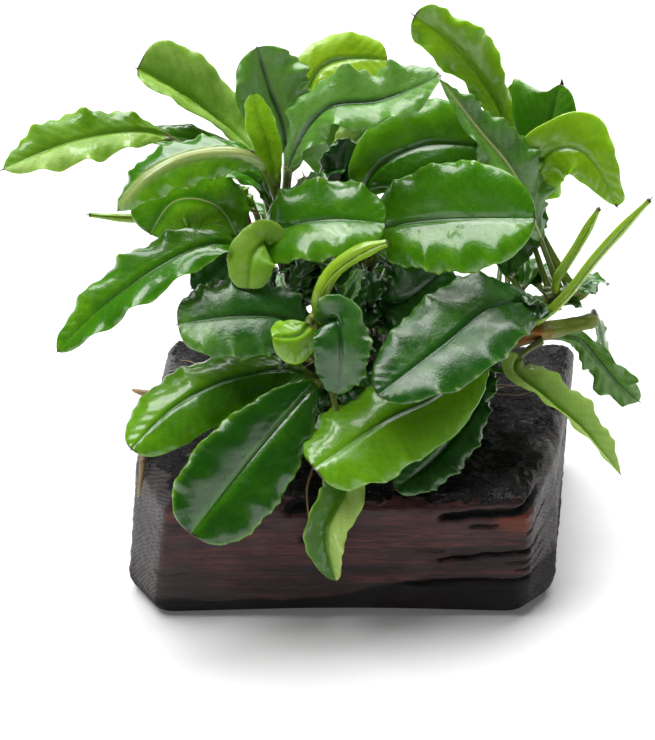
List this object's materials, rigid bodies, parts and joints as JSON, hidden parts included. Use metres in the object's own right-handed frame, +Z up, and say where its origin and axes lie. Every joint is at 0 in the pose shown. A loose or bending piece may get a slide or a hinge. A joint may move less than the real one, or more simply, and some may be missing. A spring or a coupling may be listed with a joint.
{
  "type": "bucephalandra plant on a driftwood block",
  "caption": "Aquarium plant with glossy wavy green leaves on forked rhizomes, growing on a sawn block of dark driftwood that stands on its flat underside.",
  "frame": {"origin": "middle of the driftwood block's flat underside", "axes": "+Z up, away from the underside; +X towards the right of the plant, +Y towards its back"},
  "size_m": [0.1461, 0.1192, 0.1233],
  "materials": {
    "wood": "wet, dark red-brown, grained",
    "stem": "brown scarred rhizome",
    "leaf_glossy": "wet glossy green",
    "leaf_dark": "dark bluish green with a sheen",
    "leaf_bright": "translucent yellow green",
    "leaf_pale": "pale satin underside",
    "leaf_rolled": "pale rolled new leaf"
  },
  "bodies": {
    "root": {"driftwood_block": "wood", "rhizome_main": "stem", "rhizome_back_left": "stem", "rhizome_left": "stem", "rhizome_centre": "stem", "rhizome_right": "stem", "rhizome_right_low": "stem", "rhizome_front": "stem", "rhizome_rear": "stem", "leaf_left_shaded": "leaf_glossy", "leaf_left_tall": "leaf_pale", "leaf_left_slim": "leaf_bright", "leaf_top_left_dark": "leaf_dark", "leaf_top_left_bright": "leaf_bright", "leaf_top_arching": "leaf_dark", "leaf_left_pale_rib": "leaf_glossy", "leaf_left_under": "leaf_glossy", "leaf_rear_inner": "leaf_glossy", "leaf_far_left": "leaf_pale", "leaf_left_rolled": "leaf_rolled", "leaf_left_broad": "leaf_glossy", "leaf_left_small": "leaf_bright", "leaf_left_drooping": "leaf_glossy", "leaf_left_inner_dark": "leaf_dark", "leaf_left_hanging": "leaf_pale", "leaf_centre_left": "leaf_glossy", "leaf_centre_glossy": "leaf_glossy", "leaf_centre_upper": "leaf_glossy", "leaf_back_pale": "leaf_pale", "leaf_back_dark": "leaf_dark", "leaf_inner_shaded": "leaf_dark", "leaf_front_crinkled": "leaf_dark", "leaf_right_dark_sheen": "leaf_dark", "leaf_top_right": "leaf_bright", "leaf_right_upper": "leaf_glossy", "leaf_right_upper_small": "leaf_bright", "leaf_right_yellow": "leaf_bright", "leaf_right_rolled_short": "leaf_rolled", "leaf_right_rolled_long": "leaf_rolled", "leaf_right_low_dark": "leaf_dark", "leaf_right_inner": "leaf_dark", "leaf_front_right_under": "leaf_dark", "leaf_front_right_broad": "leaf_glossy", "leaf_right_low_slim": "leaf_glossy", "leaf_right_hanging": "leaf_pale", "leaf_front_left_dark": "leaf_dark", "leaf_front_left_broad": "leaf_glossy", "leaf_front_long": "leaf_glossy", "leaf_front_folded": "leaf_pale", "leaf_front_small": "leaf_dark", "leaf_front_cupped": "leaf_bright", "leaf_front_rolled_new": "leaf_rolled", "leaf_front_twisted": "leaf_glossy", "leaf_rear_centre_right": "leaf_glossy", "leaf_rear_centre_left": "leaf_glossy", "leaf_rear_left": "leaf_glossy", "leaf_rear_right": "leaf_glossy", "leaf_rear_low_centre": "leaf_glossy", "leaf_rear_low_left": "leaf_glossy", "leaf_rear_low_right": "leaf_glossy"}
  },
  "joints": []
}
